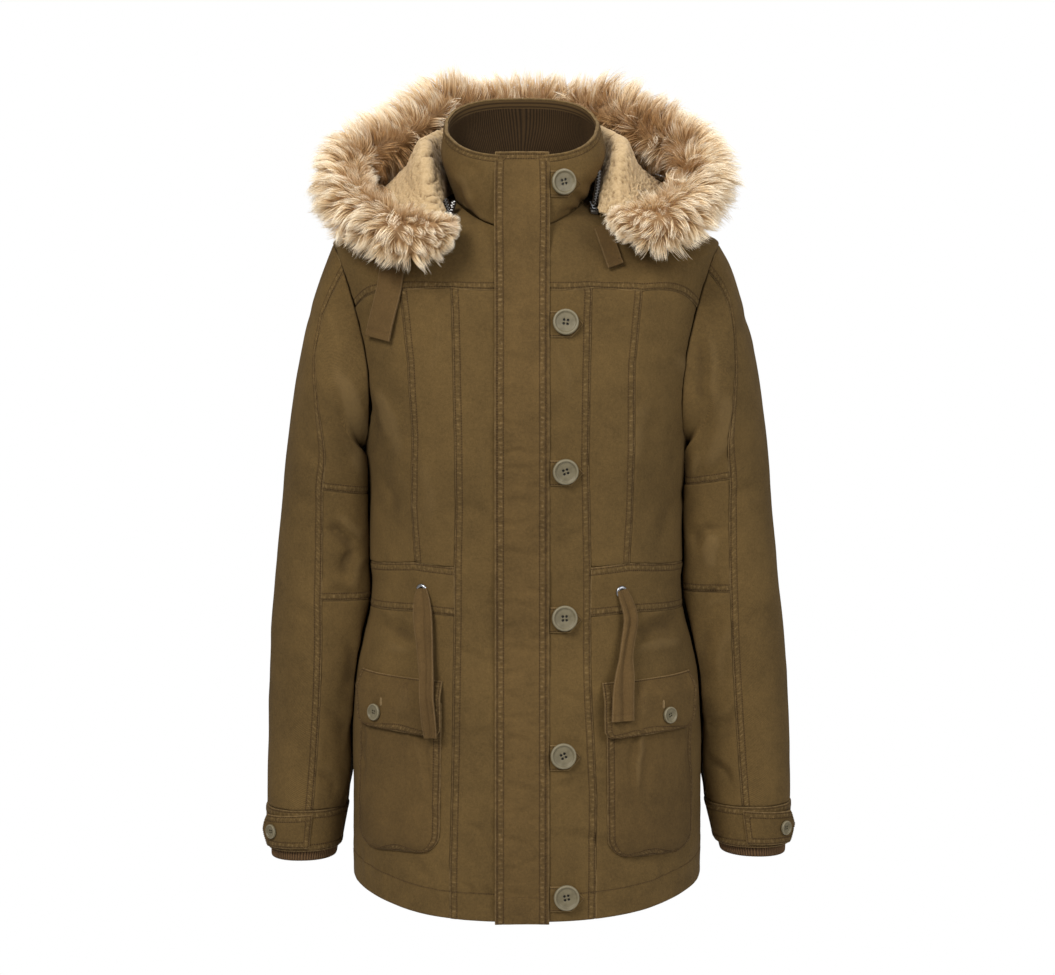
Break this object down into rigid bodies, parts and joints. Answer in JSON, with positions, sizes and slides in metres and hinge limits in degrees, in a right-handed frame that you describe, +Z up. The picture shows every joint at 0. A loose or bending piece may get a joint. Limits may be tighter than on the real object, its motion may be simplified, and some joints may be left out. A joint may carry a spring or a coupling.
{
  "type": "fur trimmed parka",
  "caption": "Hip-length hooded parka, filled out and empty: fur-edged hood laid back, buttoned placket, drawn waist, flap pockets, rib cuffs and a stand-up collar.",
  "frame": {"origin": "between the shoulders, under the middle of the neck opening, where the wearer carries the coat", "axes": "+Z up along the coat, the buttoned front faces -Y, +X is the wearer's left"},
  "size_m": [0.5654, 0.3286, 0.867],
  "materials": {
    "canvas": "matt waxed cotton canvas, slightly rubbed at the edges",
    "tape": "matt woven tape",
    "rib_knit": "matt rib knit",
    "pile": "matt bumpy pile",
    "fur": "long soft hair",
    "button": "dull horn-like plastic",
    "metal": "worn grey metal"
  },
  "bodies": {
    "coat": {"back": "canvas", "button_tab_1": "canvas", "button_tab_2": "canvas", "button_tab_3": "canvas", "button_tab_4": "canvas", "button_tab_5": "canvas", "button_tab_6": "canvas", "centre_front_l": "canvas", "centre_front_r": "canvas", "collar": "canvas", "collar_lining": "rib_knit", "cuff_band_l": "canvas", "cuff_band_r": "canvas", "cuff_button_l": "button", "cuff_button_r": "button", "cuff_tab_l": "canvas", "cuff_tab_r": "canvas", "drawstring_l": "tape", "drawstring_r": "tape", "elbow_panel_l": "canvas", "elbow_panel_r": "canvas", "flap_button_l": "button", "flap_button_r": "button", "front_button_1": "button", "front_button_2": "button", "front_button_3": "button", "front_button_4": "button", "front_button_5": "button", "front_button_6": "button", "front_yoke_l": "canvas", "front_yoke_r": "canvas", "fur_trim": "fur", "hood_lining": "pile", "hood_shell": "canvas", "hood_tie_l": "tape", "hood_tie_r": "tape", "mid_front_l": "canvas", "mid_front_r": "canvas", "placket": "canvas", "pocket_flap_l": "canvas", "pocket_flap_r": "canvas", "pocket_l": "canvas", "pocket_r": "canvas", "rib_cuff_l": "rib_knit", "rib_cuff_r": "rib_knit", "side_front_l": "canvas", "side_front_r": "canvas", "skirt_front_l": "canvas", "skirt_front_r": "canvas", "sleeve_back_l": "canvas", "sleeve_back_r": "canvas", "sleeve_lower_l": "canvas", "sleeve_lower_r": "canvas", "sleeve_upper_l": "canvas", "sleeve_upper_r": "canvas", "waist_casing_l": "canvas", "waist_casing_r": "canvas", "zip_slider": "metal"},
    "zip_pull": {"zip_pull": "metal"}
  },
  "joints": [
    {"name": "zip_pull_hinge", "type": "hinge", "parent": "coat", "child": "zip_pull", "pos_m": [0.07008, -0.04201, -0.00386], "axis": [0.9627, 0.2165, -0.1624], "range_deg": [0, 60]}
  ]
}
